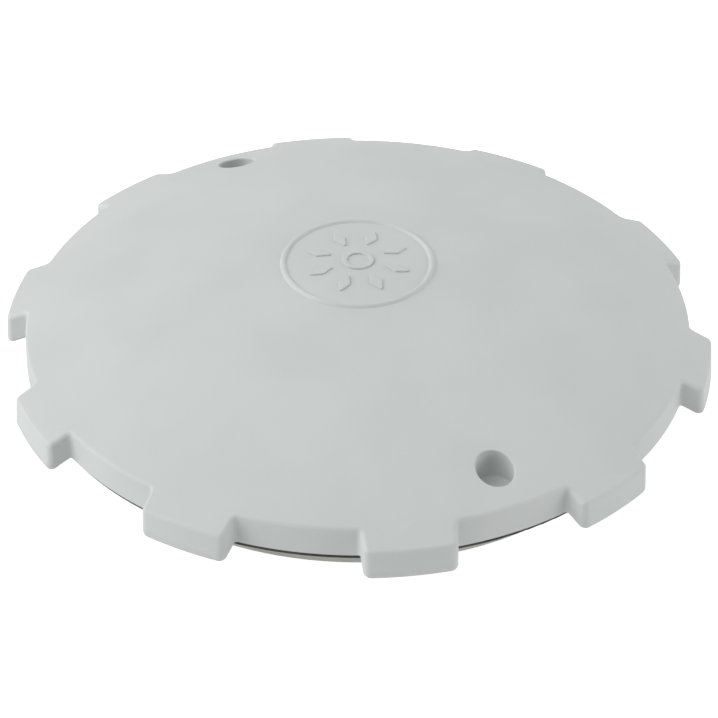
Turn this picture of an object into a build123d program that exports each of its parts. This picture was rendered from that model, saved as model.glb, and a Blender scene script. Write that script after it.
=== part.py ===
from build123d import *
import math
import os

# Screw-in access cover for a plastic vessel: a domed lid with a lugged rim, a flat
# seal under the rim, and a screwed-on spigot that carries the male thread.
# Millimetres, +Z up, the origin at the centre of the spigot's foot.

# ---- lid: rim, dome and lugs ----
rim_radius = 150.0
rim_bottom_z = 18.9
rim_wall_height = 14.36
dome_rise = 32.64
dome_wall = 5.0
hollow_corner_radius = 4.0
lug_count = 10
lug_reach = 10.8
lug_drop = 5.8
lug_root_width = 41.2
lug_tip_width = 40.4
lug_side_length = 15.0
lug_face_draft = 3.5
lug_corner_radius = 3.6
lug_root_radius = 1.8
top_edge_radius = 2.4
lug_core_inset = 1.6
lug_wall = 3.2
lug_core_depth = 10.8

# ---- lid: spanner pockets ----
pocket_inset = 18.5
pocket_radius = 8.4
pocket_depth = 11.6
pocket_wall = 4.0
pocket_lip_radius = 0.7

# ---- lid: raised ring and motif at the crown ----
bead_outer_radius = 34.9
bead_width = 3.1
bead_height = 1.1
bead_edge_radius = 0.9
motif_height = 0.8
motif_pitch_radius = 18.5
lozenge_count = 8
lozenge_length = 13.0
lozenge_width = 5.6
motif_ring_radius = 7.2
motif_ring_width = 2.4
motif_edge_radius = 0.35

# ---- lid: stiffening on the underside ----
rib_thickness = 3.2
rib_depth_at_hub = 15.0
arch_margin = 2.0
hub_radius = 28.0
ring_rib_radius = 72.0
frame_bite = 2.5

# ---- spigot ----
spigot_inset = 18.0
flange_thickness = 4.0
flange_step = 6.0
flange_reach = 20.5
register_clearance = 0.3
spigot_wall = 6.0
foot_chamfer = 0.4
pilot_land = 6.0
neck_relief = 1.2
gusset_thickness = 3.0
gusset_reach = 9.0
gusset_height = 9.5
gusset_count = 20
gusset_bite = 1.0

# ---- male thread ----
thread_pitch = 4.0
thread_turns = 1.5
thread_depth = 3.5
thread_root_width = 3.0
thread_crest_width = 1.3
thread_gap = 0.2
thread_bite = 0.8

# ---- rim seal ----
seal_thickness = 3.0
seal_inset = 2.0
seal_clearance = 0.3
seal_edge_radius = 0.4

# ---- screws that hold the spigot ----
screw_count = lug_count
screw_inset = 13.4
screw_radius = 2.5
screw_length = 18.0
screw_point = 2.2
screw_hole_clearance = 0.3
screw_pilot_clearance = 0.05
screw_pilot_spare = 1.0
boss_wall = 3.6
head_radius = 4.7
head_height = 3.2
head_edge_radius = 1.2
recess_length = 5.4
recess_width = 1.3
recess_depth = 1.8
recess_taper = 8.0

# ---- places that follow from the sizes above ----
lug_bottom_z = rim_bottom_z - lug_drop
crown_z = rim_bottom_z + rim_wall_height + dome_rise
dome_radius = (rim_radius**2 + dome_rise**2) / (2 * dome_rise)
dome_centre_z = crown_z - dome_radius
seat_z = rim_bottom_z + flange_thickness
lug_pitch = 360 / lug_count
pocket_angle = lug_pitch / 2 * round(90 / (lug_pitch / 2))
lug_tip_radius = rim_radius + lug_reach
lug_root_x = math.sqrt(rim_radius**2 - (lug_root_width / 2) ** 2)
lug_side_x = lug_root_x + lug_side_length
spigot_radius = rim_radius - spigot_inset
spigot_inner_radius = spigot_radius - spigot_wall
neck_radius = spigot_radius - neck_relief
flange_outer_radius = spigot_radius + flange_step
flange_inner_radius = spigot_radius - flange_reach
rim_seat_inner_radius = flange_outer_radius + register_clearance
screw_pitch_radius = spigot_radius - screw_inset
seal_outer_radius = rim_radius - seal_inset
pocket_pitch_radius = rim_radius - pocket_inset
lug_core_radius = rim_radius - lug_core_inset

os.makedirs("parts", exist_ok=True)


def dome_height(radius, inset=0.0):
    """Height of the dome at a radius, or of a sphere the inset below it."""
    return dome_centre_z + math.sqrt((dome_radius - inset) ** 2 - radius**2)


arch_top_z = dome_height(hub_radius, dome_wall) - rib_depth_at_hub
arch_radius = flange_inner_radius - arch_margin


def axis_distance(edge):
    """Distance of an edge's middle from the lid's axis."""
    return Vector(edge.center().X, edge.center().Y).length


def is_upright(edge):
    return abs(edge.tangent_at(0.5).Z) > 0.9


# ---- stiffening frame of the lid: one plan, trimmed under the dome and arched ----
with BuildPart() as stiffening:
    with BuildSketch(Plane.XY.offset(seat_z)):
        with PolarLocations((hub_radius + rim_seat_inner_radius) / 2, lug_count):
            Rectangle(rim_seat_inner_radius - hub_radius + frame_bite, rib_thickness)
        for ring_radius in (hub_radius, ring_rib_radius):
            with BuildSketch(mode=Mode.PRIVATE) as ring:
                Circle(ring_radius + rib_thickness / 2)
                Circle(ring_radius - rib_thickness / 2, mode=Mode.SUBTRACT)
            add(ring.sketch)
        with PolarLocations(screw_pitch_radius, screw_count):
            Circle(screw_radius + boss_wall)
        with PolarLocations(pocket_pitch_radius, 2, start_angle=pocket_angle):
            Circle(pocket_radius + pocket_wall)
    extrude(amount=crown_z - seat_z)
    with Locations((0, 0, dome_centre_z)):
        Sphere(dome_radius - dome_wall + frame_bite, mode=Mode.INTERSECT)
    with BuildSketch(Plane.XZ):
        with BuildLine():
            Polyline(
                (0, seat_z),
                (arch_radius, seat_z),
                (hub_radius + rib_thickness / 2, arch_top_z),
                (0, arch_top_z),
                close=True,
            )
        make_face()
    revolve(axis=Axis.Z, mode=Mode.SUBTRACT)

# ---- the hollow under the dome ----
with BuildPart() as hollow:
    with BuildSketch(Plane.XY.offset(lug_bottom_z)):
        Circle(rim_seat_inner_radius)
    extrude(amount=crown_z - lug_bottom_z)
    with Locations((0, 0, dome_centre_z)):
        Sphere(dome_radius - dome_wall, mode=Mode.INTERSECT)
    hollow_wall = hollow.faces().filter_by(GeomType.CYLINDER)
    fillet(hollow_wall.edges().sort_by(Axis.Z)[-1], hollow_corner_radius)

# ---- raised ring on the crown ----
mark_base_z = dome_height(bead_outer_radius, dome_wall / 2)
with BuildPart() as crown_bead:
    with BuildSketch(Plane.XY.offset(mark_base_z)):
        Circle(bead_outer_radius)
        Circle(bead_outer_radius - bead_width, mode=Mode.SUBTRACT)
    extrude(amount=crown_z - mark_base_z + bead_height)
    with Locations((0, 0, dome_centre_z)):
        Sphere(dome_radius + bead_height, mode=Mode.INTERSECT)
    bead_top = crown_bead.faces().filter_by(GeomType.SPHERE)
    fillet(bead_top.edges(), bead_edge_radius)

# ---- plain motif inside the ring: lozenges round a small ring ----
with BuildPart() as crown_motif:
    with BuildSketch(Plane.XY.offset(mark_base_z)):
        with PolarLocations(motif_pitch_radius, lozenge_count):
            Polygon(
                (-lozenge_length / 2, 0),
                (0, -lozenge_width / 2),
                (lozenge_length / 2, 0),
                (0, lozenge_width / 2),
            )
        Circle(motif_ring_radius)
        Circle(motif_ring_radius - motif_ring_width, mode=Mode.SUBTRACT)
    extrude(amount=crown_z - mark_base_z + motif_height)
    with Locations((0, 0, dome_centre_z)):
        Sphere(dome_radius + motif_height, mode=Mode.INTERSECT)
    motif_tops = crown_motif.faces().filter_by(GeomType.SPHERE)
    fillet(motif_tops.edges(), motif_edge_radius)

# ---- plan of one lug: straight sides from inside the rim to past its tip ----
lug_taper = (lug_root_width - lug_tip_width) / 2 / lug_reach
lug_start_half_width = lug_root_width / 2 + lug_taper * (lug_root_x - rim_seat_inner_radius)
lug_end_half_width = lug_root_width / 2 - lug_taper * lug_side_length
with BuildSketch() as lug_plan:
    Polygon(
        (rim_seat_inner_radius, -lug_start_half_width),
        (lug_side_x, -lug_end_half_width),
        (lug_side_x, lug_end_half_width),
        (rim_seat_inner_radius, lug_start_half_width),
        align=None,
    )

# ---- cover_shell: the moulded lid ----
with BuildPart() as cover_shell:
    # rim disc and lugs, pulled up past the crown
    with BuildSketch(Plane.XY.offset(rim_bottom_z)):
        Circle(rim_radius)
    extrude(amount=crown_z - rim_bottom_z)
    with BuildSketch(Plane.XY.offset(lug_bottom_z)):
        with PolarLocations(0, lug_count):
            add(lug_plan.sketch)
    extrude(amount=crown_z - lug_bottom_z)
    # the lugs' outer faces lie on one drafted cone
    blank_height = crown_z - lug_bottom_z
    cone_top_radius = lug_tip_radius - blank_height * math.tan(math.radians(lug_face_draft))
    with Locations((0, 0, lug_bottom_z)):
        Cone(
            lug_tip_radius,
            cone_top_radius,
            blank_height,
            align=(Align.CENTER, Align.CENTER, Align.MIN),
            mode=Mode.INTERSECT,
        )
    lug_middle_radius = rim_radius + lug_reach / 2
    tips = cover_shell.edges().filter_by(is_upright).filter_by(lambda e: axis_distance(e) > lug_middle_radius)
    fillet(tips, lug_corner_radius)
    roots = cover_shell.edges().filter_by(is_upright).filter_by(
        lambda e: abs(axis_distance(e) - rim_radius) < lug_root_radius and e.center().Z > seat_z
    )
    fillet(roots, lug_root_radius)
    # the dome runs on over the lugs
    with Locations((0, 0, dome_centre_z)):
        Sphere(dome_radius, mode=Mode.INTERSECT)
    fillet(cover_shell.faces().filter_by(GeomType.SPHERE).edges(), top_edge_radius)
    # under the lugs, a shallow cone that falls from the rim to the tips as the dome does
    with BuildSketch(Plane.XZ):
        with BuildLine():
            Polyline(
                (0, rim_bottom_z),
                (rim_radius, rim_bottom_z),
                (lug_tip_radius + lug_reach, lug_bottom_z - lug_drop),
                (0, lug_bottom_z - lug_drop),
                close=True,
            )
        make_face()
    revolve(axis=Axis.Z, mode=Mode.SUBTRACT)
    # cores that keep the lugs' walls even
    with BuildSketch(Plane.XY.offset(lug_bottom_z)) as core_plan:
        with PolarLocations(0, lug_count):
            add(lug_plan.sketch)
        Circle(lug_tip_radius, mode=Mode.INTERSECT)
        Circle(lug_core_radius, mode=Mode.SUBTRACT)
        offset(amount=-lug_wall, kind=Kind.INTERSECTION)
    extrude(amount=lug_core_depth, mode=Mode.SUBTRACT)
    # hollow, ribs, bosses and pocket wells
    add(hollow.part, mode=Mode.SUBTRACT)
    add(stiffening.part)
    # raised ring and motif on the crown
    add(crown_bead.part)
    add(crown_motif.part)
    # blind pockets for a pin spanner, opposite each other
    pocket_floor_z = dome_height(pocket_pitch_radius) - pocket_depth
    with BuildSketch(Plane.XY.offset(pocket_floor_z)):
        with PolarLocations(pocket_pitch_radius, 2, start_angle=pocket_angle):
            Circle(pocket_radius)
    extrude(amount=crown_z, mode=Mode.SUBTRACT)
    pocket_edges = cover_shell.edges(Select.LAST).filter_by(GeomType.LINE, reverse=True)
    fillet(pocket_edges.filter_by_position(Axis.Z, pocket_floor_z + pocket_wall, crown_z), pocket_lip_radius)
    # pilot holes for the spigot's screws
    with BuildSketch(Plane.XY.offset(seat_z)):
        with PolarLocations(screw_pitch_radius, screw_count):
            Circle(screw_radius + screw_pilot_clearance)
    extrude(amount=screw_length - flange_thickness + screw_pilot_spare, mode=Mode.SUBTRACT)
cover_shell.part.label = "cover_shell"
export_step(cover_shell.part, "parts/cover_shell.step")

# ---- male thread, wound on the spigot above its plain pilot land ----
with BuildPart() as male_thread:
    with BuildLine():
        thread_path = Helix(
            thread_pitch,
            thread_pitch * thread_turns,
            neck_radius,
            center=(0, 0, pilot_land + thread_gap + thread_root_width / 2),
        )
    with BuildSketch(Plane(thread_path @ 0, x_dir=(1, 0, 0), z_dir=thread_path % 0)):
        with BuildLine():
            Polyline(
                (-thread_bite, -thread_root_width / 2),
                (thread_depth, -thread_crest_width / 2),
                (thread_depth, thread_crest_width / 2),
                (-thread_bite, thread_root_width / 2),
                close=True,
            )
        make_face()
    sweep(path=thread_path, is_frenet=True)

# ---- threaded_spigot: ring that screws into the vessel's neck ----
with BuildPart() as threaded_spigot:
    with BuildSketch(Plane.XZ):
        with BuildLine():
            Polyline(
                (spigot_inner_radius, 0),
                (spigot_radius, 0),
                (spigot_radius, pilot_land),
                (neck_radius, pilot_land),
                (neck_radius, rim_bottom_z),
                (flange_outer_radius, rim_bottom_z),
                (flange_outer_radius, seat_z),
                (flange_inner_radius, seat_z),
                (flange_inner_radius, rim_bottom_z),
                (spigot_inner_radius, rim_bottom_z),
                close=True,
            )
        make_face()
    revolve(axis=Axis.Z)
    chamfer(threaded_spigot.edges().group_by(Axis.Z)[0], foot_chamfer)
    # gussets under the flange, midway between the screws
    with BuildSketch(Plane.XZ) as gusset_plan:
        with BuildLine():
            Polyline(
                (spigot_inner_radius + gusset_bite, rim_bottom_z + gusset_bite),
                (spigot_inner_radius - gusset_reach, rim_bottom_z + gusset_bite),
                (spigot_inner_radius - gusset_reach, rim_bottom_z - gusset_bite),
                (spigot_inner_radius, rim_bottom_z - gusset_height),
                (spigot_inner_radius + gusset_bite, rim_bottom_z - gusset_height),
                close=True,
            )
        make_face()
    gusset = extrude(gusset_plan.sketch, amount=gusset_thickness / 2, both=True, mode=Mode.PRIVATE)
    with PolarLocations(0, gusset_count, start_angle=lug_pitch / 4):
        add(gusset)
    # clearance holes for the screws
    with BuildSketch(Plane.XY.offset(rim_bottom_z)):
        with PolarLocations(screw_pitch_radius, screw_count):
            Circle(screw_radius + screw_hole_clearance)
    extrude(amount=flange_thickness, mode=Mode.SUBTRACT)
    add(male_thread.part)
threaded_spigot.part.label = "threaded_spigot"
export_step(threaded_spigot.part, "parts/threaded_spigot.step")

# ---- rim_seal: flat rubber ring pressed up against the rim ----
with BuildPart() as rim_seal:
    with BuildSketch(Plane.XY.offset(rim_bottom_z - seal_thickness)):
        Circle(seal_outer_radius)
        Circle(spigot_radius + seal_clearance, mode=Mode.SUBTRACT)
    extrude(amount=seal_thickness)
    fillet(rim_seal.edges().filter_by(GeomType.CIRCLE), seal_edge_radius)
rim_seal.part.label = "rim_seal"
export_step(rim_seal.part, "parts/rim_seal.step")

# ---- one pan-head screw, head down, its bearing face at the flange ----
with BuildPart() as screw:
    with BuildSketch(Plane.XY.offset(rim_bottom_z - head_height)):
        Circle(head_radius)
    extrude(amount=head_height)
    fillet(screw.edges().group_by(Axis.Z)[0], head_edge_radius)
    with BuildSketch(Plane.XY.offset(rim_bottom_z)):
        Circle(screw_radius)
    extrude(amount=screw_length)
    chamfer(screw.edges().group_by(Axis.Z)[-1], screw_point, screw_point / 3)
    with BuildSketch(Plane.XY.offset(rim_bottom_z - head_height)):
        Rectangle(recess_length, recess_width)
        Rectangle(recess_width, recess_length)
    extrude(amount=recess_depth, taper=recess_taper, mode=Mode.SUBTRACT)

with BuildPart() as spigot_screws:
    with PolarLocations(screw_pitch_radius, screw_count):
        add(screw.part)
spigot_screws.part.label = "spigot_screws"
export_step(spigot_screws.part, "parts/spigot_screws.step")
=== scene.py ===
import math
import bpy
import numpy as np
from mathutils import Matrix, Vector


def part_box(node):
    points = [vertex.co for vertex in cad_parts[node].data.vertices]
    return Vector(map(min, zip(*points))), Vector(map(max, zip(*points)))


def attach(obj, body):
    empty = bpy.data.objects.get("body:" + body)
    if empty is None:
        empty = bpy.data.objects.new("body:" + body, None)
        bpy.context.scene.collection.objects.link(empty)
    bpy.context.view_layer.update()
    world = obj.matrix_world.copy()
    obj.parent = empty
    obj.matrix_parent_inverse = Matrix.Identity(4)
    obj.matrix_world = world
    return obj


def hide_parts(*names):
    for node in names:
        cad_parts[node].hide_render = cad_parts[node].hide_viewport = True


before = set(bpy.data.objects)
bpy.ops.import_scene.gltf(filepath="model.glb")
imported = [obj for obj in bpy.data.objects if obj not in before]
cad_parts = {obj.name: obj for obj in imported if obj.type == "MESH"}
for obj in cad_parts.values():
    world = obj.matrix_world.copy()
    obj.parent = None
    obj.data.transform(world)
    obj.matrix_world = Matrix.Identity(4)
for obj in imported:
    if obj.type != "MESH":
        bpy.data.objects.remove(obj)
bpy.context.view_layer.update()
print("frame loaded:", ", ".join(sorted(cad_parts)))

# heights that the pieces share, in metres, read from the frame
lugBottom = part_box("cover_shell")[0].z
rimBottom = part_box("rim_seal")[1].z
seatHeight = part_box("threaded_spigot")[1].z
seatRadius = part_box("threaded_spigot")[1].x


# small tools for numpy surfaces
def unit(v):
    return v / np.linalg.norm(v, axis=-1, keepdims=True)


def turned(angles):
    # plan directions at these angles from +X
    return np.stack([np.cos(angles), np.sin(angles)], -1)


def span(a, b, n):
    return np.linspace(a, b, n)


def lift(flat, z):
    # plan points with a height put on them
    flat, z = np.asarray(flat, float), np.asarray(z, float)
    shape = np.broadcast_shapes(flat.shape[:-1], z.shape)
    return np.concatenate([np.broadcast_to(flat, shape + (2,)), np.broadcast_to(z, shape)[..., None]], -1)


def slerp(a, b, t):
    # great-circle steps from direction a to direction b, one row for each t
    angle = np.arccos(np.clip((a * b).sum(-1), -1, 1))[None, :, None]
    t = np.asarray(t)[:, None, None]
    return (np.sin((1 - t) * angle) * a[None] + np.sin(t * angle) * b[None]) / np.sin(angle)


def newStack():
    return {"points": [], "faces": [], "count": 0}


def addPoints(stack, block):
    # puts points on the stack and says the number of the first
    block = np.asarray(block, float).reshape(-1, 3)
    stack["points"].append(block)
    stack["count"] += len(block)
    return stack["count"] - len(block)


def addGrid(stack, block, keep=None):
    # rows run from a pole outwards and down, columns anticlockwise and closed; keep leaves cells out
    rows, columns = block.shape[:2]
    first = addPoints(stack, block)
    r, c = np.arange(rows - 1)[:, None] * columns + first, np.arange(columns)[None]
    d = (c + 1) % columns
    quads = np.stack([r + c, r + columns + c, r + columns + d, r + d], -1).reshape(-1, 4)
    stack["faces"] += quads[slice(None) if keep is None else keep.reshape(-1)].tolist()
    return first


def addBridge(stack, inner, outer):
    # one row of quads between two closed loops of point numbers
    quads = np.stack([inner, outer, np.roll(outer, -1), np.roll(inner, -1)], -1)
    stack["faces"] += quads.tolist()


def addPole(stack, point, ring, below=False):
    # triangles from one point to a closed loop of point numbers
    after = np.roll(ring, -1)
    pair = (after, ring) if below else (ring, after)
    tip = np.full_like(ring, addPoints(stack, point))
    stack["faces"] += np.stack([tip, *pair], -1).tolist()


def addClosed(stack, block):
    # a grid whose first and last rows are closed by their middles: the first on top
    rows, columns = block.shape[:2]
    first = addGrid(stack, block)
    ring = np.arange(columns)
    addPole(stack, block[0].mean(0), first + ring)
    addPole(stack, block[-1].mean(0), first + (rows - 1) * columns + ring, below=True)


def makePiece(name, stack):
    mesh = bpy.data.meshes.new(name)
    mesh.from_pydata(np.concatenate(stack["points"]).tolist(), [], stack["faces"])
    mesh.update()
    piece = bpy.data.objects.new(name, mesh)
    bpy.context.scene.collection.objects.link(piece)
    return piece


def carve(piece, tool, operation="DIFFERENCE"):
    # one boolean on the piece's own mesh; the tool goes
    modifier = piece.modifiers.new("carve", "BOOLEAN")
    modifier.operation, modifier.solver, modifier.object = operation, "MANIFOLD", tool
    bpy.context.view_layer.update()
    result = bpy.data.meshes.new_from_object(piece.evaluated_get(bpy.context.evaluated_depsgraph_get()))
    piece.modifiers.clear()
    old, name = piece.data, piece.data.name
    piece.data = result
    bpy.data.meshes.remove(old)
    result.name = name
    bpy.data.objects.remove(tool)
    return piece


def smooth(piece, sharpAngle):
    piece.data.shade_smooth()
    piece.data.set_sharp_from_angle(angle=math.radians(sharpAngle))


def readAll(items, name, width, kind=float):
    values = np.zeros(len(items) * width, np.float64 if kind is float else np.int64)
    items.foreach_get(name, values)
    return values.reshape(-1, width) if width > 1 else values


def shadeAsSphere(piece, centreHeight, radius, tolerance=3e-6, lean=0.97):
    # face corners that lie on the dome's sphere, on faces square to it, get the sphere's own normal
    mesh = piece.data
    points = readAll(mesh.vertices, "co", 3)[readAll(mesh.loops, "vertex_index", 1, int)]
    normals = readAll(mesh.corner_normals, "vector", 3)
    sizes = readAll(mesh.polygons, "loop_total", 1, int)
    faces = np.repeat(readAll(mesh.polygon_normals, "vector", 3), sizes, 0)
    away = points - np.array([0, 0, centreHeight])
    distance = np.linalg.norm(away, axis=-1)
    away /= distance[:, None]
    onDome = (np.abs(distance - radius) < tolerance) & ((faces * away).sum(-1) > lean)
    normals[onDome] = away[onDome]
    mesh.normals_split_custom_set(normals.tolist())
    print("dome corners shaded:", int(onDome.sum()), "of", len(onDome))


# the lid: outline, dome, lugs and pockets
lid = dict(
    rimRadius=0.150, rimWall=0.01436, domeRise=0.03264, domeWall=0.005,
    lugCount=10, lugReach=0.0108, lugRootWidth=0.0412, lugTipWidth=0.0404, lugDraft=3.5,
    lugDrop=0.0058, cornerRadius=0.0036, rootRadius=0.0018, topRadius=0.0024, footRadius=0.0017, rimEdge=0.0005,
    beadOuter=0.0349, beadWidth=0.0031, beadHeight=0.0011,
    tipSteps=9, cornerSteps=7, rootSteps=6, rimSteps=12, edgeSteps=11, footSteps=8, beadSteps=15,
    beadBlunt=2.6, beadFlare=1.3, plainStart=0.004, plainSteps=5, beadMargin=0.6,
    evenReach=0.105, evenRows=18, lugRows=26, lastShare=0.997, rimInset=0.0002, sharpAngle=32,
)
domeRadius = (lid["rimRadius"] ** 2 + lid["domeRise"] ** 2) / (2 * lid["domeRise"])
crownHeight = rimBottom + lid["rimWall"] + lid["domeRise"]
domeCentre = crownHeight - domeRadius
lugTipRadius = lid["rimRadius"] + lid["lugReach"]
lugPitch = 2 * math.pi / lid["lugCount"]
lugTurns = lugPitch * np.arange(lid["lugCount"])
draftSlope = math.tan(math.radians(lid["lugDraft"]))
sideDraft = 0.25     # share of the face's draft that the lugs' sides have
sideShares = (0.05, 0.5, 1)     # places of the columns along a lug's straight side
wallShares = (0.03, 0.35, 0.7, 0.97)     # places of the rows down the outer wall
underShares = (0.03, 0.35, 0.7, 1)     # places of the rows from a lug's foot in to the rim
seamTurn, rimStart = 0.002, 0.012     # turns from a corner to the columns next to it


def domeHeight(radius, inset=0.0):
    # the dome is part of a sphere; inset goes to a smaller sphere with the same centre
    return domeCentre + np.sqrt((domeRadius - inset) ** 2 - np.asarray(radius) ** 2)


def underLug(radius):
    # the underside is flat under the rim and falls as a shallow cone under the lugs
    return rimBottom - lid["lugDrop"] / lid["lugReach"] * np.maximum(np.asarray(radius) - lid["rimRadius"], 0)


def underOut(flat):
    # the underside's outward direction at plan points: down, and leaning inwards under the lugs
    radius = np.linalg.norm(flat, axis=-1)
    lean = lid["lugDrop"] / lid["lugReach"] * np.clip((radius - lid["rimRadius"]) / lid["rootRadius"], 0, 1)
    return unit(lift(-flat / radius[:, None] * lean[:, None], -1.0))


def spin(flat, turns):
    # the plan points again at each turn round the axis
    c, s = np.cos(turns)[:, None], np.sin(turns)[:, None]
    return np.stack([c * flat[:, 0] - s * flat[:, 1], s * flat[:, 0] + c * flat[:, 1]], -1)


def lugSide():
    # the line of a lug's side: slope, place and its outward direction
    rootX = math.sqrt(lid["rimRadius"] ** 2 - (lid["lugRootWidth"] / 2) ** 2)
    slope = (lid["lugRootWidth"] - lid["lugTipWidth"]) / 2 / lid["lugReach"]
    place = lid["lugRootWidth"] / 2 + slope * rootX
    return slope, place, np.array([slope, 1]) / math.hypot(1, slope)


def besideLug(distance, radius):
    # the point a signed distance from the side's line and a radius from the axis
    slope, place, out = lugSide()
    c = place + distance * math.hypot(1, slope)
    x = (slope * c + math.sqrt((slope * c) ** 2 - (1 + slope ** 2) * (c * c - radius ** 2))) / (1 + slope ** 2)
    return np.array([x, c - slope * x])


def lugEdge(inset, smallest=0.0006):
    # a lug's edge drawn in by the inset, from its middle to the start of its root:
    # an arc about the axis, a round corner and the straight side; with directions and draft shares
    out = lugSide()[2]
    tip, corner = lugTipRadius - inset, max(lid["cornerRadius"] - inset, smallest)
    centre = besideLug(-inset - corner, tip - corner)
    cornerTurn, sideTurn = math.atan2(centre[1], centre[0]), math.atan2(out[1], out[0])
    tipArc = turned(span(0, cornerTurn - seamTurn, lid["tipSteps"]))
    bend = span(cornerTurn, sideTurn, lid["cornerSteps"])
    start, stop = centre + corner * out, besideLug(-inset, math.hypot(lid["rimRadius"], lid["rootRadius"] * 3))
    share = np.array(sideShares)[:, None]
    points = [tip * tipArc, centre + corner * turned(bend), start * (1 - share) + stop * share]
    normals = [tipArc, turned(bend), np.repeat(out[None], len(sideShares), 0)]
    shares = [np.ones(len(tipArc)), np.maximum(np.cos(bend), sideDraft), np.full(len(sideShares), sideDraft)]
    return [np.concatenate(group) for group in (points, normals, shares)]


def lidOutline():
    # lug edge, hollow root and rim arc to the middle of the gap, mirrored and turned ten times
    points, normals, shares = lugEdge(0)
    out = lugSide()[2]
    root, radius = besideLug(lid["rootRadius"], lid["rimRadius"] + lid["rootRadius"]), lid["rootRadius"]
    sideTurn, rootTurn = math.atan2(out[1], out[0]), math.atan2(root[1], root[0])
    bend = span(sideTurn, rootTurn, lid["rootSteps"])
    rim = turned(np.append(rootTurn + seamTurn, span(rootTurn + rimStart, lugPitch / 2, lid["rimSteps"])))
    points = np.concatenate([points, root - radius * turned(bend), lid["rimRadius"] * rim])
    normals = np.concatenate([normals, turned(bend), rim])
    shares = np.concatenate([shares, span(sideDraft, 0, lid["rootSteps"]), np.zeros(len(rim))])
    flip = np.array([1, -1])
    points, normals = [np.concatenate([v[:0:-1] * flip, v[:-1]]) for v in (points, normals)]
    shares = np.concatenate([shares[:0:-1], shares[:-1]])
    points, normals = [spin(v, lugTurns).reshape(-1, 2) for v in (points, normals)]
    return points, normals, np.tile(shares, len(lugTurns))


outline, outward, draftShare = lidOutline()


def drawnIn(z):
    # the outline at a height, or heights: draft pulls the lugs' faces in as they rise
    pull = draftShare * draftSlope * (np.asarray(z) - lugBottom)
    return outline - outward * pull[..., None]


pocket = dict(
    inset=0.0185, radius=0.0084, depth=0.0116, lip=0.0007, floorRadius=0.0006,
    gapTurn=0.118, gapReach=0.0135, turns=(math.pi / 2, -math.pi / 2),
    lipSteps=7, blendSteps=8, lastShare=0.985, floorSteps=6,
    wallShares=(0.04, 0.5, 0.96), floorShares=(0.98, 0.6, 0.3),
)
pocketDistance = lid["rimRadius"] - pocket["inset"]


def addPocket(stack, loop, centre):
    # a blind round pocket in a gap of the dome: rings run from the gap's loop to a circle,
    # then a ball-rolled lip, the wall, a small round and the floor
    edge = np.concatenate(stack["points"])[loop]
    away = unit(edge[:, :2] - centre)
    ballFlat = centre + away * (pocket["radius"] + pocket["lip"])
    ball = lift(ballFlat, domeHeight(np.linalg.norm(ballFlat, axis=-1), pocket["lip"]))
    up = unit(ball - np.array([0, 0, domeCentre]))
    lip = ball[None] + pocket["lip"] * slerp(up, lift(-away, 0.0), span(0, 1, pocket["lipSteps"]))
    share = np.append(span(0, 1, pocket["blendSteps"])[1:-1], pocket["lastShare"])[:, None, None]
    flat = edge[None, :, :2] * (1 - share) + lip[None, 0, :, :2] * share
    dome = lift(flat, domeHeight(np.linalg.norm(flat, axis=-1)))
    floor = domeHeight(pocketDistance) - pocket["depth"]
    low = floor + pocket["floorRadius"]
    share = np.array(pocket["wallShares"])[:, None]
    wall = lift(lip[-1, :, :2], lip[-1, :, 2] * (1 - share) + low * share)
    bend = span(0, math.pi / 2, pocket["floorSteps"])[:, None]
    radius = pocket["radius"] - pocket["floorRadius"] * (1 - np.cos(bend))
    floorBend = lift(centre + away * radius[..., None], low - pocket["floorRadius"] * np.sin(bend))
    shrink = np.array(pocket["floorShares"])[:, None, None]
    base = lift(centre + away * shrink * (pocket["radius"] - pocket["floorRadius"]), floor)
    block = np.concatenate([dome, lip, wall, floorBend, base])
    ring = np.arange(len(loop))
    first = addGrid(stack, block)
    addBridge(stack, loop, first + ring)
    addPole(stack, (*centre, floor), first + (len(block) - 1) * len(loop) + ring, below=True)


def pocketGap(block, keep, firstDome, lastDome, turn):
    # takes whole cells out of the dome's grid round a pocket and says the loop that bounds them
    columns = block.shape[1]
    angle = np.arctan2(block[lastDome, :, 1], block[lastDome, :, 0]) - turn
    angle = (angle + math.pi) % (2 * math.pi) - math.pi
    inside = np.nonzero(np.abs(angle) < pocket["gapTurn"])[0]
    inside = inside[np.argsort(angle[inside])]
    radius = np.linalg.norm(block[firstDome:lastDome, inside[0], :2], axis=-1)
    rows = firstDome + np.nonzero(np.abs(radius - pocketDistance) < pocket["gapReach"])[0]
    keep[rows[0] : rows[-1], inside[:-1]] = False
    loop = [rows[0] * columns + inside[::-1], rows[1:-1] * columns + inside[0]]
    loop += [rows[-1] * columns + inside, rows[-2:0:-1] * columns + inside[-1]]
    return np.concatenate(loop)[::-1]


def firstTurn(ring):
    # the angle of a ring's first point
    return math.atan2(ring[0, 1], ring[0, 0])


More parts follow.
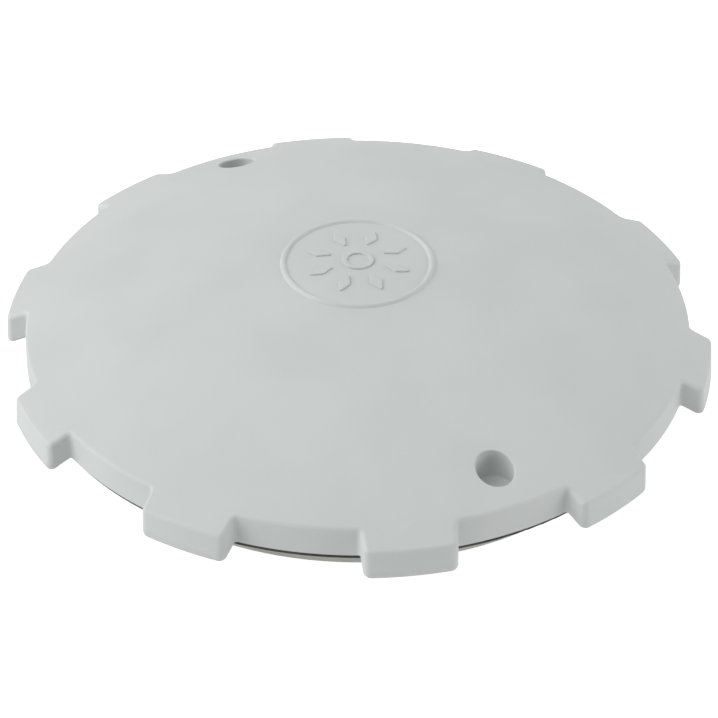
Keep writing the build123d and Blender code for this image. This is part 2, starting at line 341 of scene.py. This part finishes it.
def makeLidBlank():
    # the lid as one solid: columns follow the outline, rows run from the crown over the raised
    # bead and the dome to the outline, round its edge, down its wall, round its foot and back in
    wallOut = unit(lift(outward, draftShare * draftSlope))
    ballFlat = outline - outward * lid["topRadius"]
    for step in range(4):    # the ball touches both the dome and the drafted wall
        height = domeHeight(np.linalg.norm(ballFlat, axis=-1), lid["topRadius"])
        reach = lid["topRadius"] / np.linalg.norm(wallOut[:, :2], axis=-1)
        ballFlat = drawnIn(height) - outward * reach[:, None]
    ball = lift(ballFlat, domeHeight(np.linalg.norm(ballFlat, axis=-1), lid["topRadius"]))
    up = unit(ball - np.array([0, 0, domeCentre]))
    edge = ball[None] + lid["topRadius"] * slerp(up, wallOut, span(0, 1, lid["edgeSteps"]))
    ray = turned(span(0, 2 * math.pi, len(outline) + 1)[:-1] + firstTurn(edge[0]))
    beadMiddle = lid["beadOuter"] - lid["beadWidth"] / 2
    across, margin = span(-1, 1, lid["beadSteps"]), lid["beadWidth"] * lid["beadMargin"]
    plain = span(lid["plainStart"], beadMiddle - lid["beadWidth"], lid["plainSteps"])
    plain = np.append(plain, beadMiddle - margin)
    radii = np.concatenate([plain, beadMiddle + across * lid["beadWidth"] / 2, [beadMiddle + margin]])
    rise = lid["beadHeight"] * (1 - np.abs(across) ** lid["beadBlunt"]) ** lid["beadFlare"]
    rise = np.concatenate([0 * plain, rise, [0]])
    crown = lift(ray[None] * radii[:, None, None], (domeHeight(radii) + rise)[:, None])
    even = span(radii[-1], lid["evenReach"], lid["evenRows"])[1:]
    even = lift(ray[None] * even[:, None, None], domeHeight(even)[:, None])
    share = np.append(span(0, 1, lid["lugRows"])[1:-1], lid["lastShare"])[:, None, None]
    flat = even[-1, :, :2] * (1 - share) + edge[0, :, :2] * share
    dome = np.concatenate([even, lift(flat, domeHeight(np.linalg.norm(flat, axis=-1)))])
    footRadius = lid["rimEdge"] + (lid["footRadius"] - lid["rimEdge"]) * np.minimum(1, draftShare / sideDraft)
    footFlat = drawnIn(rimBottom) - outward * footRadius[:, None]
    fall, down = underLug(np.linalg.norm(footFlat, axis=-1)), underOut(footFlat)
    footBall = lift(footFlat, fall - footRadius / down[:, 2])
    bottom = footBall[None] + footRadius[:, None] * slerp(wallOut, down, span(0, 1, lid["footSteps"]))
    share = np.array(wallShares)[:, None]
    height = edge[-1, :, 2] * (1 - share) + bottom[0, :, 2] * share
    wall = lift(drawnIn(height), height)
    last = bottom[-1, :, :2]
    rimReach = np.minimum(np.linalg.norm(last, axis=-1) - lid["rimInset"], lid["rimRadius"])
    inner = unit(last) * rimReach[:, None]
    share = np.array(underShares)[:, None, None]
    flat = last * (1 - share) + inner * share
    under = lift(flat, underLug(np.linalg.norm(flat, axis=-1)))
    shrink = np.array([0.99, 0.94, 0.5, 0.1])[:, None, None]
    under = np.concatenate([under, lift(inner * shrink, rimBottom)])
    block = np.concatenate([crown, dome, edge, wall, bottom, under])
    keep = np.ones((len(block) - 1, len(outline)), bool)
    firstDome, lastDome = len(crown), len(crown) + len(dome) - 1
    loops = [pocketGap(block, keep, firstDome, lastDome, turn) for turn in pocket["turns"]]
    stack = newStack()
    addGrid(stack, block, keep)
    ring = np.arange(len(outline))
    addPole(stack, (0, 0, crownHeight), ring)
    addPole(stack, (0, 0, rimBottom), (len(block) - 1) * len(outline) + ring, below=True)
    for loop, turn in zip(loops, pocket["turns"]):
        addPocket(stack, loop, pocketDistance * turned(turn))
    return makePiece("coverShell", stack)


# the lid's underside: hollow, ribs, bosses and pocket wells
under = dict(
    seatClearance=0.0003, cornerRadius=0.004, ribThickness=0.0032, ribDepthAtHub=0.015, hubRadius=0.028,
    ringRadius=0.072, archRadius=0.1095, bossRadius=0.0061, bossDistance=0.1186, wellRadius=0.0124,
    pilotRadius=0.00255, pilotDepth=0.015, below=0.004, axisGap=0.002, crownGap=0.003,
)


def addRevolved(stack, profile, columns=240, closed=True):
    # (radius, height) points from the top pole to the bottom one, carried round the axis
    ray = turned(span(0, 2 * math.pi, columns + 1)[:-1])
    profile = np.asarray(profile, float)
    block = lift(ray[None] * profile[:, 0, None, None], profile[:, 1, None])
    if closed:
        addClosed(stack, block)
    else:
        first = addGrid(stack, block)
        ring = np.arange(columns)
        addBridge(stack, first + (len(profile) - 1) * columns + ring, first + ring)


def addPost(stack, flat, low, high):
    # a plan outline, anticlockwise, between two heights
    addClosed(stack, np.stack([lift(flat, high), lift(flat, low)]))


def circle(centre, radius, columns=48):
    return np.asarray(centre) + radius * turned(span(0, 2 * math.pi, columns + 1)[:-1])


def makeFrame():
    # ribs, rings, bosses and wells as prisms, then arched clear of the vessel's neck
    low, high = seatHeight - under["below"], crownHeight
    half = under["ribThickness"] / 2
    ribs, rings, posts = newStack(), newStack(), newStack()
    end = lid["rimRadius"] - under["below"]
    rib = np.array([(under["hubRadius"], -half), (end, -half), (end, half), (under["hubRadius"], half)])
    for flat in spin(rib, lugTurns):
        addPost(ribs, flat, low, high)
    for radius in (under["hubRadius"], under["ringRadius"]):
        inner, outer = radius - half, radius + half
        addRevolved(rings, [(inner, high), (outer, high), (outer, low), (inner, low)], closed=False)
    for turn in lugTurns:
        addPost(posts, circle(under["bossDistance"] * turned(turn), under["bossRadius"]), low, high)
    for turn in pocket["turns"]:
        addPost(posts, circle(pocketDistance * turned(turn), under["wellRadius"], 72), low, high)
    archTop = domeHeight(under["hubRadius"], lid["domeWall"]) - under["ribDepthAtHub"]
    arch, wide = newStack(), lid["rimRadius"]
    addRevolved(arch, [
        (under["axisGap"], archTop), (under["hubRadius"] + half, archTop), (under["archRadius"], seatHeight),
        (wide, seatHeight), (wide, low - under["below"]), (under["axisGap"], low - under["below"]),
    ])
    piece = makePiece("stiffening", ribs)
    carve(piece, makePiece("rings", rings), "UNION")
    carve(piece, makePiece("posts", posts), "UNION")
    return carve(piece, makePiece("arch", arch))


def makeHollow():
    # the space under the dome: inner sphere, rolled corner and the register for the spigot's flange
    radius, corner = seatRadius + under["seatClearance"], under["cornerRadius"]
    ball = np.array([radius - corner, domeHeight(radius - corner, lid["domeWall"] + corner)])
    start = math.atan2(ball[1] - domeCentre, ball[0])
    bend = ball + corner * turned(span(start, 0, 8))
    inner = span(under["crownGap"], bend[0, 0], 40)[:-1]
    profile = [*zip(inner, domeHeight(inner, lid["domeWall"])), *bend, (radius, rimBottom - under["below"])]
    stack, pilots = newStack(), newStack()
    addRevolved(stack, profile, 300)
    for turn in lugTurns:
        place = circle(under["bossDistance"] * turned(turn), under["pilotRadius"], 24)
        addPost(pilots, place, seatHeight - under["below"] / 2, seatHeight + under["pilotDepth"])
    piece = makePiece("hollow", stack)
    carve(piece, makeFrame())
    return carve(piece, makePiece("pilots", pilots), "UNION")


# cores under the lugs
core = dict(innerRadius=0.1484, wall=0.0032, depth=0.0108, endGap=0.0005)


def coreOutline():
    # the lug's edge drawn in by the wall, closed by an arc about the axis
    points = lugEdge(core["wall"])[0]
    inner = core["innerRadius"] + core["wall"]
    points = points[np.linalg.norm(points, axis=-1) > inner + core["endGap"]]
    end = besideLug(-core["wall"], inner)
    half = np.concatenate([points, inner * turned(span(math.atan2(end[1], end[0]), 0, 7))])
    return np.concatenate([half, half[-2:0:-1] * np.array([1, -1])])


def makeCores():
    # one prism for each lug, from below its tip up to the core's depth
    stack = newStack()
    for flat in spin(coreOutline(), lugTurns):
        addPost(stack, flat, lugBottom - core["wall"], lugBottom + core["depth"])
    return makePiece("cores", stack)


# plain motif inside the raised ring
motif = dict(
    height=0.0008, edge=0.00035, sunk=0.0006, distance=0.0185, count=8, halfLength=0.0065, halfWidth=0.0028,
    corner=0.0006, ringOuter=0.0072, ringInner=0.0048, innerRows=(0.3, 0.7),
)


def lozenge(inset):
    # a rhombus with round corners, drawn in by the inset
    a, b, corner = motif["halfLength"], motif["halfWidth"], motif["corner"]
    tilt = math.atan2(a, b)
    short = corner * math.hypot(a, b)
    ends = [(a - short / b, 0, -tilt, tilt), (0, b - short / a, tilt, math.pi - tilt)]
    ends += [(-a + short / b, 0, math.pi - tilt, math.pi + tilt)]
    ends += [(0, -b + short / a, math.pi + tilt, 2 * math.pi - tilt)]
    corners = [np.array([x, y]) + (corner - inset) * turned(span(start, stop, 9)) for x, y, start, stop in ends]
    return np.concatenate(corners)


def makeMotif():
    # each mark is a pad with a flat top that follows the dome and a rolled edge, sunk a little into the lid
    top, edge = motif["height"], motif["edge"]
    bend = span(math.pi / 2, 0, 6)
    rolled = [*zip(edge * (1 - np.cos(bend)), top - edge * (1 - np.sin(bend))), (0, -motif["sunk"])]
    stack = newStack()
    rows = [(lozenge(edge) * share, top) for share in motif["innerRows"]]
    rows += [(lozenge(shift), rise) for shift, rise in rolled]
    for turn in span(0, 2 * math.pi, motif["count"] + 1)[:-1]:
        block = []
        for flat, rise in rows:
            flat = spin(flat + np.array([motif["distance"], 0]), np.array([turn]))[0]
            block.append(lift(flat, domeHeight(np.linalg.norm(flat, axis=-1)) + rise))
        addClosed(stack, np.stack(block))
    outer = [(motif["ringOuter"] - shift, rise) for shift, rise in rolled]
    inner = [(motif["ringInner"] + shift, rise) for shift, rise in rolled[::-1]]
    profile = [(radius, domeHeight(radius) + rise) for radius, rise in outer + inner]
    addRevolved(stack, profile, 72, closed=False)
    return makePiece("motif", stack)


coverShell = makeLidBlank()
carve(coverShell, makeHollow())
carve(coverShell, makeMotif(), "UNION")
carve(coverShell, makeCores())
smooth(coverShell, lid["sharpAngle"])
shadeAsSphere(coverShell, domeCentre, domeRadius)
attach(coverShell, "root")
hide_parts("cover_shell")
print("lid:", len(coverShell.data.polygons), "faces")


# shader groups shared by the materials
def newGroup(name, inputs, outputs):
    # a shader group with named sockets: inputs are (name, value), outputs are (name, kind)
    group = bpy.data.node_groups.new(name, "ShaderNodeTree")
    group.interface.new_socket("Vector", in_out="INPUT", socket_type="NodeSocketVector")
    for label, value in inputs:
        group.interface.new_socket(label, in_out="INPUT", socket_type="NodeSocketFloat").default_value = value
    for label, kind in outputs:
        group.interface.new_socket(label, in_out="OUTPUT", socket_type=kind)
    return group, group.nodes.new("NodeGroupInput"), group.nodes.new("NodeGroupOutput")


def addNode(tree, kind, values=None, **settings):
    node = tree.nodes.new(kind)
    for name, value in settings.items():
        setattr(node, name, value)
    for socket, value in (values or {}).items():
        if isinstance(value, bpy.types.NodeSocket):
            tree.links.new(value, node.inputs[socket])
        else:
            node.inputs[socket].default_value = value
    return node


def addMath(tree, operation, *values):
    return addNode(tree, "ShaderNodeMath", dict(enumerate(values)), operation=operation).outputs[0]


def addNoise(tree, vector, scale, detail, roughness):
    values = {"Vector": vector, "Scale": scale, "Detail": detail, "Roughness": roughness}
    return addNode(tree, "ShaderNodeTexNoise", values).outputs["Fac"]


def addRamp(tree, value, low, high):
    # smooth step between two levels
    values = {"Value": value, "From Min": low, "From Max": high}
    return addNode(tree, "ShaderNodeMapRange", values, interpolation_type="SMOOTHSTEP").outputs["Result"]


def addMix(tree, factor, a, b):
    # sockets 0, 6 and 7 of a colour mix are its factor and two colours, and output 2 is the result
    return addNode(tree, "ShaderNodeMix", {0: factor, 6: a, 7: b}, data_type="RGBA").outputs[2]


def makeGrainGroup():
    # moulded grain: a fine noise, a coarser one under it, and slow sink marks between them
    inputs = [("Fine Scale", 2600.0), ("Coarse Scale", 420.0), ("Coarse Share", 0.35), ("Sink Scale", 26.0)]
    outputs = [("Height", "NodeSocketFloat"), ("Tone", "NodeSocketFloat")]
    group, start, end = newGroup("mouldedGrain", inputs, outputs)
    vector = start.outputs["Vector"]
    fine = addNoise(group, vector, start.outputs["Fine Scale"], 2.0, 0.6)
    coarse = addNoise(group, vector, start.outputs["Coarse Scale"], 3.0, 0.55)
    sink = addNoise(group, vector, start.outputs["Sink Scale"], 2.0, 0.45)
    coarse = addMath(group, "MULTIPLY", coarse, start.outputs["Coarse Share"])
    height = addMath(group, "ADD", fine, coarse)
    group.links.new(height, end.inputs["Height"])
    group.links.new(addRamp(group, sink, 0.3, 0.7), end.inputs["Tone"])
    return group


def makeDustGroup():
    # dust: small soft specks where a fine noise peaks, thinned out by a slow one
    inputs = [("Speck Scale", 900.0), ("Amount", 0.5)]
    group, start, end = newGroup("dustSpecks", inputs, [("Mask", "NodeSocketFloat")])
    vector = start.outputs["Vector"]
    speck = addRamp(group, addNoise(group, vector, start.outputs["Speck Scale"], 1.0, 0.5), 0.66, 0.78)
    patch = addRamp(group, addNoise(group, vector, 34.0, 2.0, 0.5), 0.42, 0.68)
    mask = addMath(group, "MULTIPLY", addMath(group, "MULTIPLY", speck, patch), start.outputs["Amount"])
    group.links.new(mask, end.inputs["Mask"])
    return group


def makeScuffGroup():
    # rub marks: a noise stretched along X, kept to patches and to a band of distances from the axis
    inputs = [("From Radius", 0.14), ("To Radius", 0.16), ("Scale", 260.0), ("Amount", 0.5)]
    group, start, end = newGroup("rubMarks", inputs, [("Mask", "NodeSocketFloat")])
    vector = start.outputs["Vector"]
    split = addNode(group, "ShaderNodeSeparateXYZ", {0: vector})
    flat = addNode(group, "ShaderNodeCombineXYZ", {0: split.outputs[0], 1: split.outputs[1]})
    radius = addNode(group, "ShaderNodeVectorMath", {0: flat.outputs[0]}, operation="LENGTH").outputs["Value"]
    band = addRamp(group, radius, start.outputs["From Radius"], start.outputs["To Radius"])
    stretch = {0: vector, 1: (0.12, 1.0, 1.0)}
    stretched = addNode(group, "ShaderNodeVectorMath", stretch, operation="MULTIPLY").outputs[0]
    streak = addRamp(group, addNoise(group, stretched, start.outputs["Scale"], 3.0, 0.6), 0.56, 0.74)
    patch = addRamp(group, addNoise(group, vector, 48.0, 2.0, 0.5), 0.45, 0.7)
    mask = addMath(group, "MULTIPLY", addMath(group, "MULTIPLY", streak, patch), band)
    group.links.new(addMath(group, "MULTIPLY", mask, start.outputs["Amount"]), end.inputs["Mask"])
    return group


grainGroup, dustGroup, scuffGroup = makeGrainGroup(), makeDustGroup(), makeScuffGroup()


# materials
def rgb(r, g, b):
    return (r, g, b, 1.0)


def newMaterial(name):
    material = bpy.data.materials.new(name)
    material.use_nodes = True
    tree = material.node_tree
    shader = tree.nodes["Principled BSDF"]
    return material, tree, shader, addNode(tree, "ShaderNodeTexCoord").outputs["Object"]


def useGroup(tree, group, vector, values):
    node = addNode(tree, "ShaderNodeGroup", node_tree=group)
    tree.links.new(vector, node.inputs["Vector"])
    for name, value in values.items():
        node.inputs[name].default_value = value
    return node


def addRange(tree, value, limits):
    # a value from 0 to 1 carried to two limits
    values = {"Value": value, "To Min": limits[0], "To Max": limits[1]}
    return addNode(tree, "ShaderNodeMapRange", values).outputs["Result"]


def addBump(tree, height, look):
    values = {"Height": height, "Strength": look["bump"], "Distance": look["bumpDepth"]}
    return addNode(tree, "ShaderNodeBump", values).outputs["Normal"]


def makePlastic(name, look):
    # moulded plastic: two close tones in slow clouds, a little dust, rubbed patches and a fine grain
    material, tree, shader, vector = newMaterial(name)
    grain = useGroup(tree, grainGroup, vector, look["grain"])
    dust = useGroup(tree, dustGroup, vector, look["dust"])
    scuff = useGroup(tree, scuffGroup, vector, look["scuff"])
    colour = addMix(tree, grain.outputs["Tone"], look["dark"], look["light"])
    colour = addMix(tree, scuff.outputs["Mask"], colour, look["rubbed"])
    colour = addMix(tree, dust.outputs["Mask"], colour, look["dustColour"])
    tree.links.new(colour, shader.inputs["Base Color"])
    rough = addRange(tree, grain.outputs["Height"], look["rough"])
    rough = addMath(tree, "ADD", rough, addMath(tree, "MULTIPLY", scuff.outputs["Mask"], look["scuffRough"]))
    tree.links.new(rough, shader.inputs["Roughness"])
    tree.links.new(addBump(tree, grain.outputs["Height"], look), shader.inputs["Normal"])
    shader.inputs["IOR"].default_value = look["ior"]
    return material


coverLook = dict(
    dark=rgb(0.592, 0.620, 0.612), light=rgb(0.618, 0.645, 0.637), rubbed=rgb(0.66, 0.68, 0.672),
    dustColour=rgb(0.43, 0.43, 0.40),
    rough=(0.47, 0.62), scuffRough=0.12, bump=0.12, bumpDepth=0.00006, ior=1.46,
    grain={"Fine Scale": 2600.0, "Coarse Scale": 430.0, "Coarse Share": 0.35, "Sink Scale": 22.0},
    dust={"Speck Scale": 760.0, "Amount": 0.16},
    scuff={"From Radius": 0.135, "To Radius": 0.158, "Scale": 300.0, "Amount": 0.35},
)
# painted light: the spigot's lighter, warmer tone is partly its own cream plastic and partly painted warm
# bounce light from the pale table under the rim
spigotLookWithPaintedBounce = dict(
    dark=rgb(0.66, 0.655, 0.61), light=rgb(0.71, 0.705, 0.66), rubbed=rgb(0.75, 0.745, 0.71),
    dustColour=rgb(0.34, 0.33, 0.29),
    rough=(0.38, 0.55), scuffRough=0.15, bump=0.15, bumpDepth=0.00006, ior=1.49,
    grain={"Fine Scale": 3100.0, "Coarse Scale": 520.0, "Coarse Share": 0.3, "Sink Scale": 30.0},
    dust={"Speck Scale": 900.0, "Amount": 0.3},
    scuff={"From Radius": 0.128, "To Radius": 0.136, "Scale": 420.0, "Amount": 0.6},
)


def makeRubber():
    # seal rubber: near black with a green cast, cloudy bloom, grey specks of talc and a matt skin
    look = dict(
        dark=rgb(0.030, 0.032, 0.027), bloom=rgb(0.075, 0.078, 0.068), talc=rgb(0.22, 0.22, 0.20),
        rough=(0.66, 0.86), bump=0.35, bumpDepth=0.00008,
        grain={"Fine Scale": 1900.0, "Coarse Scale": 600.0, "Coarse Share": 0.5, "Sink Scale": 60.0},
        dust={"Speck Scale": 1500.0, "Amount": 0.6},
    )
    material, tree, shader, vector = newMaterial("sealRubber")
    grain = useGroup(tree, grainGroup, vector, look["grain"])
    dust = useGroup(tree, dustGroup, vector, look["dust"])
    colour = addMix(tree, grain.outputs["Tone"], look["dark"], look["bloom"])
    colour = addMix(tree, dust.outputs["Mask"], colour, look["talc"])
    tree.links.new(colour, shader.inputs["Base Color"])
    tree.links.new(addRange(tree, grain.outputs["Height"], look["rough"]), shader.inputs["Roughness"])
    tree.links.new(addBump(tree, grain.outputs["Height"], look), shader.inputs["Normal"])
    return material


def makeSteel():
    # zinc-plated screw steel: drawn lines along Z on the shanks, cloudy plating, worn brighter in patches
    look = dict(
        dark=rgb(0.36, 0.37, 0.38), light=rgb(0.56, 0.56, 0.55), stain=rgb(0.30, 0.27, 0.22),
        rough=(0.24, 0.48), bump=0.2, bumpDepth=0.00004, lineScale=2400.0, lineStretch=(1.0, 1.0, 0.08),
        grain={"Fine Scale": 2200.0, "Coarse Scale": 500.0, "Coarse Share": 0.5, "Sink Scale": 240.0},
        dust={"Speck Scale": 1100.0, "Amount": 0.7},
    )
    material, tree, shader, vector = newMaterial("screwSteel")
    stretch = {0: vector, 1: look["lineStretch"]}
    drawn = addNode(tree, "ShaderNodeVectorMath", stretch, operation="MULTIPLY").outputs[0]
    lines = addNoise(tree, drawn, look["lineScale"], 3.0, 0.65)
    grain = useGroup(tree, grainGroup, vector, look["grain"])
    dust = useGroup(tree, dustGroup, vector, look["dust"])
    colour = addMix(tree, grain.outputs["Tone"], look["dark"], look["light"])
    colour = addMix(tree, dust.outputs["Mask"], colour, look["stain"])
    tree.links.new(colour, shader.inputs["Base Color"])
    shader.inputs["Metallic"].default_value = 1.0
    tree.links.new(addRange(tree, lines, look["rough"]), shader.inputs["Roughness"])
    tree.links.new(addBump(tree, lines, look), shader.inputs["Normal"])
    return material


def dress(piece, material):
    # one material over the whole piece
    piece.data.materials.clear()
    piece.data.materials.append(material)


dress(coverShell, makePlastic("coverPlastic", coverLook))
for node, material in (
    ("cover_shell", coverShell.data.materials[0]),
    # the spigot's material holds painted warm bounce light as well as its own cream tone
    ("threaded_spigot", makePlastic("spigotPlasticWithPaintedBounce", spigotLookWithPaintedBounce)),
    ("rim_seal", makeRubber()), ("spigot_screws", makeSteel()),
):
    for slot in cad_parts[node].material_slots:
        slot.material = material
print("materials:", ", ".join(sorted(m.name for m in bpy.data.materials if m.users)))


# floor, light and camera
studio = dict(
    floorSize=6.0, floorTone=0.42, floorRough=0.9, floorGlow=0.50, floorShown=0.42,
    skyTone=0.585, frontTone=0.03, frontStart=-0.3, frontEnd=0.8,
    # each light: name, power, turn from +X and height above the floor in degrees
    lights=(
        ("leftLight", 1.9, 165.0, 35.0),
        ("rightLight", 1.45, -32.0, 7.0),
        ("topLight", 0.45, -116.0, 60.0),
    ),
    softness=55.0,
    azimuth=-26.26, elevation=36.15, distance=1.55919, roll=0.0028,
    aimX=-0.00414, aimY=-0.00978, lens=171.8, sensor=36,
)


def direction(turn, height):
    # a unit arrow turned from +X and raised above the floor, in radians
    return Vector((math.cos(turn) * math.cos(height), math.sin(turn) * math.cos(height), math.sin(height)))


def makeFloor():
    # a pale sheet under the cover that glows, as a table lit from below does, and shows as white
    half = studio["floorSize"] / 2
    mesh = bpy.data.meshes.new("floor")
    corners = [(-half, -half, 0), (half, -half, 0), (half, half, 0), (-half, half, 0)]
    mesh.from_pydata(corners, [], [(0, 1, 2, 3)])
    floor = bpy.data.objects.new("floor", mesh)
    bpy.context.scene.collection.objects.link(floor)
    material, tree, shader, vector = newMaterial("paleFloor")
    tone = studio["floorTone"]
    cloud = addRamp(tree, addNoise(tree, vector, 3.0, 2.0, 0.5), 0.2, 0.8)
    colour = addMix(tree, cloud, rgb(tone, tone, tone * 0.99), rgb(tone * 1.02, tone * 1.02, tone * 1.01))
    tree.links.new(colour, shader.inputs["Base Color"])
    shader.inputs["Roughness"].default_value = studio["floorRough"]
    shader.inputs["Emission Color"].default_value = rgb(1.0, 1.0, 1.0)
    seen = addNode(tree, "ShaderNodeLightPath").outputs["Is Camera Ray"]
    glow = addMath(tree, "MULTIPLY_ADD", seen, studio["floorShown"], studio["floorGlow"])
    tree.links.new(glow, shader.inputs["Emission Strength"])
    dress(floor, material)


def makeLight():
    # a white room, darker towards the front, and three wide soft lights: left, low right and top
    world = bpy.data.worlds.new("room")
    bpy.context.scene.world = world
    world.use_nodes = True
    tree = world.node_tree
    front = direction(math.radians(studio["azimuth"] - 90), 0)
    vector = addNode(tree, "ShaderNodeTexCoord").outputs["Generated"]
    pair = {0: vector, 1: front}
    facing = addNode(tree, "ShaderNodeVectorMath", pair, operation="DOT_PRODUCT").outputs["Value"]
    share = addRamp(tree, facing, studio["frontStart"], studio["frontEnd"])
    sky, dim = studio["skyTone"], studio["frontTone"]
    colour = addMix(tree, share, rgb(sky, sky * 1.003, sky * 1.006), rgb(dim, dim * 1.01, dim * 1.02))
    tree.links.new(colour, tree.nodes["Background"].inputs["Color"])
    for name, power, turn, height in studio["lights"]:
        light = bpy.data.lights.new(name, "SUN")
        light.energy, light.angle = power, math.radians(studio["softness"])
        lamp = bpy.data.objects.new(name, light)
        bpy.context.scene.collection.objects.link(lamp)
        source = direction(math.radians(turn), math.radians(height))
        lamp.rotation_euler = source.to_track_quat("Z", "Y").to_euler()


def makeCamera():
    # the camera looks just left of and in front of the lid's middle, turned a trace about its own axis
    camera = bpy.data.cameras.new("camera")
    camera.lens, camera.sensor_width = studio["lens"], studio["sensor"]
    view = bpy.data.objects.new("camera", camera)
    bpy.context.scene.collection.objects.link(view)
    bpy.context.scene.camera = view
    away = direction(math.radians(studio["azimuth"] - 90), math.radians(studio["elevation"]))
    view.location = Vector((0, 0, rimBottom)) + away * studio["distance"]
    aim = Vector((studio["aimX"], studio["aimY"], rimBottom)) - view.location
    look = aim.to_track_quat("-Z", "Y").to_matrix() @ Matrix.Rotation(studio["roll"], 3, "Z")
    view.rotation_euler = look.to_euler()


makeFloor()
makeLight()
makeCamera()
bpy.context.scene.view_settings.view_transform = "Standard"
